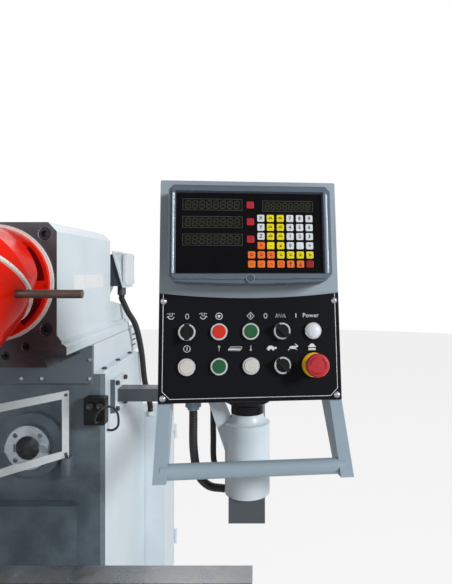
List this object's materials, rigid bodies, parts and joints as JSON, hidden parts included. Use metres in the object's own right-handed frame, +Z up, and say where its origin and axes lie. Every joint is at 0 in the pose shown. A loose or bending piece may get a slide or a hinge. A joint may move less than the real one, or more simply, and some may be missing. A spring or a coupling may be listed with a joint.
{
  "type": "universal milling machine",
  "caption": "Knee-type universal milling machine: red twin-swivel head on a sliding ram, slotted table, column, and swing-out control pendant with digital readout",
  "frame": {"origin": "centre of the four anchor bolt holes, in the plane of the base underside (the floor)", "axes": "+X to the right along the table travel, -Y towards the operator at the front, +Z up"},
  "size_m": [1.5206, 1.5799, 1.9192],
  "materials": {
    "machine_blue_grey": null,
    "column_paint": null,
    "guide_paint": null,
    "slate_plate": null,
    "machine_light": null,
    "dark_fasteners": null,
    "arm_paint": null,
    "black_plastic": null,
    "ground_steel": null,
    "ram_casting": null,
    "scale_ring": null,
    "terminal_paint": null,
    "red_paint": null,
    "oiled_bar": null,
    "table_iron": null,
    "handwheel_chrome": null,
    "aluminium_frame": null,
    "clear_pane": null,
    "pendant_paint": null,
    "black_plate": null,
    "dro_paint": null,
    "keypad_film": null,
    "bezel_metal": null,
    "black_swivel": null,
    "leg_paint": null,
    "bright_screws": null,
    "yellow_plastic": null,
    "dark_plastic": null,
    "red_plastic": null,
    "lamp_lens": null,
    "selector_plastic": null,
    "red_button": null,
    "green_button": null,
    "white_button": null,
    "conduit_black": null
  },
  "bodies": {
    "frame": {"base": "machine_blue_grey", "column": "column_paint", "ram_guide": "guide_paint", "guide_front_plate": "slate_plate", "rear_cover": "machine_light", "frame_bolts": "dark_fasteners", "electrical_cabinet": "machine_light", "arm_bracket": "machine_light", "pendant_arm": "arm_paint", "switch_box": "black_plastic", "switch_cable": "conduit_black"},
    "cabinet_door": {"cabinet_door": "machine_light"},
    "horizontal_spindle": {"horizontal_spindle": "ground_steel"},
    "ram": {"ram": "ram_casting", "ram_screws": "dark_fasteners", "ram_scale_ring": "scale_ring", "ram_motor": "machine_light", "terminal_box": "terminal_paint", "motor_conduit": "conduit_black"},
    "first_swivel": {"first_swivel": "red_paint", "second_scale_ring": "scale_ring", "swivel_nuts": "dark_fasteners"},
    "head": {"head_body": "red_paint", "turning_bar": "oiled_bar"},
    "vertical_spindle": {"vertical_spindle": "ground_steel"},
    "knee": {"knee": "machine_blue_grey"},
    "saddle": {"saddle": "machine_blue_grey"},
    "table": {"table": "table_iron", "table_end_brackets": "machine_blue_grey"},
    "table_screw": {"table_screw": "ground_steel", "table_handwheel": "handwheel_chrome"},
    "saddle_screw": {"saddle_screw": "ground_steel", "saddle_handwheel": "handwheel_chrome"},
    "knee_crank": {"knee_crank": "handwheel_chrome"},
    "lift_screw": {"lift_screw": "ground_steel"},
    "guard": {"guard_frame": "aluminium_frame", "guard_pane": "clear_pane"},
    "pendant": {"pendant_box": "pendant_paint", "control_plate": "black_plate", "dro_housing": "dro_paint", "dro_keypad": "keypad_film", "bezels": "bezel_metal", "pendant_flange": "black_swivel", "pendant_collar": "machine_light", "pendant_legs": "leg_paint", "plate_screws": "bright_screws", "estop_collar": "yellow_plastic", "pilot_lamp": "lamp_lens", "control_conduit": "conduit_black", "signal_conduit": "conduit_black"},
    "direction_selector": {"direction_selector": "selector_plastic"},
    "coolant_selector": {"coolant_selector": "selector_plastic"},
    "feed_selector": {"feed_selector": "selector_plastic"},
    "stop_button": {"stop_button": "red_button"},
    "start_button": {"start_button": "green_button"},
    "enable_button": {"enable_button": "white_button"},
    "up_button": {"up_button": "green_button"},
    "down_button": {"down_button": "white_button"},
    "estop_stem": {"estop_stem": "dark_plastic"},
    "estop_head": {"estop_head": "red_plastic"}
  },
  "joints": [
    {"name": "ram_slide", "type": "slide", "parent": "frame", "child": "ram", "axis": [0, -1, 0], "range_m": [-0.12, 0.28], "deforming": ["motor_conduit"]},
    {"name": "head_swivel", "type": "hinge", "parent": "ram", "child": "first_swivel", "pos_m": [0, -0.38, 1.734], "axis": [0, 1, 0], "range_deg": [-180, 180]},
    {"name": "head_tilt", "type": "hinge", "parent": "first_swivel", "child": "head", "pos_m": [0, -0.511, 1.725], "axis": [0, -0.7071, -0.7071], "range_deg": [-45, 180]},
    {"name": "vertical_spindle_turn", "type": "hinge", "parent": "head", "child": "vertical_spindle", "pos_m": [0, -0.6, 1.5], "axis": [0, 0, 1], "continuous": true},
    {"name": "horizontal_spindle_turn", "type": "hinge", "parent": "frame", "child": "horizontal_spindle", "pos_m": [0, -0.15, 1.25], "axis": [0, 1, 0], "continuous": true},
    {"name": "knee_lift", "type": "slide", "parent": "frame", "child": "knee", "axis": [0, 0, 1], "range_m": [-0.22, 0.14]},
    {"name": "saddle_slide", "type": "slide", "parent": "knee", "child": "saddle", "axis": [0, 1, 0], "range_m": [-0.13, 0.13]},
    {"name": "table_slide", "type": "slide", "parent": "saddle", "child": "table", "axis": [1, 0, 0], "range_m": [-0.43, 0.43]},
    {"name": "table_screw_turn", "type": "hinge", "parent": "table", "child": "table_screw", "pos_m": [0, -0.6, 0.9326], "axis": [1, 0, 0], "continuous": true},
    {"name": "saddle_screw_turn", "type": "hinge", "parent": "knee", "child": "saddle_screw", "pos_m": [0, -0.5, 0.816], "axis": [0, 1, 0], "continuous": true},
    {"name": "knee_crank_turn", "type": "hinge", "parent": "knee", "child": "knee_crank", "pos_m": [0.11, -0.85, 0.6], "axis": [0, 1, 0], "continuous": true},
    {"name": "lift_screw_turn", "type": "hinge", "parent": "knee", "child": "lift_screw", "pos_m": [0, -0.47, 0.5], "axis": [0, 0, 1], "continuous": true},
    {"name": "guard_swing", "type": "hinge", "parent": "frame", "child": "guard", "pos_m": [0.104, -0.172, 1.3], "axis": [0, 0, 1], "range_deg": [0, 60]},
    {"name": "cabinet_door_hinge", "type": "hinge", "parent": "frame", "child": "cabinet_door", "pos_m": [0.298, 0.577, 0.83], "axis": [0, 0, 1], "range_deg": [-110, 0]},
    {"name": "pendant_swivel", "type": "hinge", "parent": "frame", "child": "pendant", "pos_m": [0.66, -0.821, 1.45], "axis": [0, 0, 1], "range_deg": [-90, 90], "deforming": ["control_conduit", "signal_conduit"]},
    {"name": "direction_selector_turn", "type": "hinge", "parent": "pendant", "child": "direction_selector", "pos_m": [0.56254, -0.85341, 1.6652], "axis": [0.1001, -0.9852, 0.1392], "range_deg": [-45, 45]},
    {"name": "coolant_selector_turn", "type": "hinge", "parent": "pendant", "child": "coolant_selector", "pos_m": [0.71774, -0.83764, 1.6652], "axis": [0.1001, -0.9852, 0.1392], "range_deg": [-90, 0]},
    {"name": "feed_selector_turn", "type": "hinge", "parent": "pendant", "child": "feed_selector", "pos_m": [0.71853, -0.8454, 1.60974], "axis": [0.1001, -0.9852, 0.1392], "range_deg": [-90, 0]},
    {"name": "stop_push", "type": "slide", "parent": "pendant", "child": "stop_button", "axis": [-0.1001, 0.9852, -0.1392], "range_m": [0, 0.0035], "stiffness_N_per_m": 400, "springref_m": -0.004},
    {"name": "start_push", "type": "slide", "parent": "pendant", "child": "start_button", "axis": [-0.1001, 0.9852, -0.1392], "range_m": [0, 0.0035], "stiffness_N_per_m": 400, "springref_m": -0.004},
    {"name": "enable_push", "type": "slide", "parent": "pendant", "child": "enable_button", "axis": [-0.1001, 0.9852, -0.1392], "range_m": [0, 0.0035], "stiffness_N_per_m": 400, "springref_m": -0.004},
    {"name": "up_push", "type": "slide", "parent": "pendant", "child": "up_button", "axis": [-0.1001, 0.9852, -0.1392], "range_m": [0, 0.0035], "stiffness_N_per_m": 400, "springref_m": -0.004},
    {"name": "down_push", "type": "slide", "parent": "pendant", "child": "down_button", "axis": [-0.1001, 0.9852, -0.1392], "range_m": [0, 0.0035], "stiffness_N_per_m": 400, "springref_m": -0.004},
    {"name": "estop_push", "type": "slide", "parent": "pendant", "child": "estop_stem", "axis": [-0.1001, 0.9852, -0.1392], "range_m": [0, 0.004], "stiffness_N_per_m": 800, "springref_m": -0.004},
    {"name": "estop_twist", "type": "hinge", "parent": "estop_stem", "child": "estop_head", "pos_m": [0.77026, -0.84014, 1.60974], "axis": [0.1001, -0.9852, 0.1392], "range_deg": [-30, 0], "stiffness_Nm_per_rad": 0.05, "springref_deg": 17.19}
  ]
}
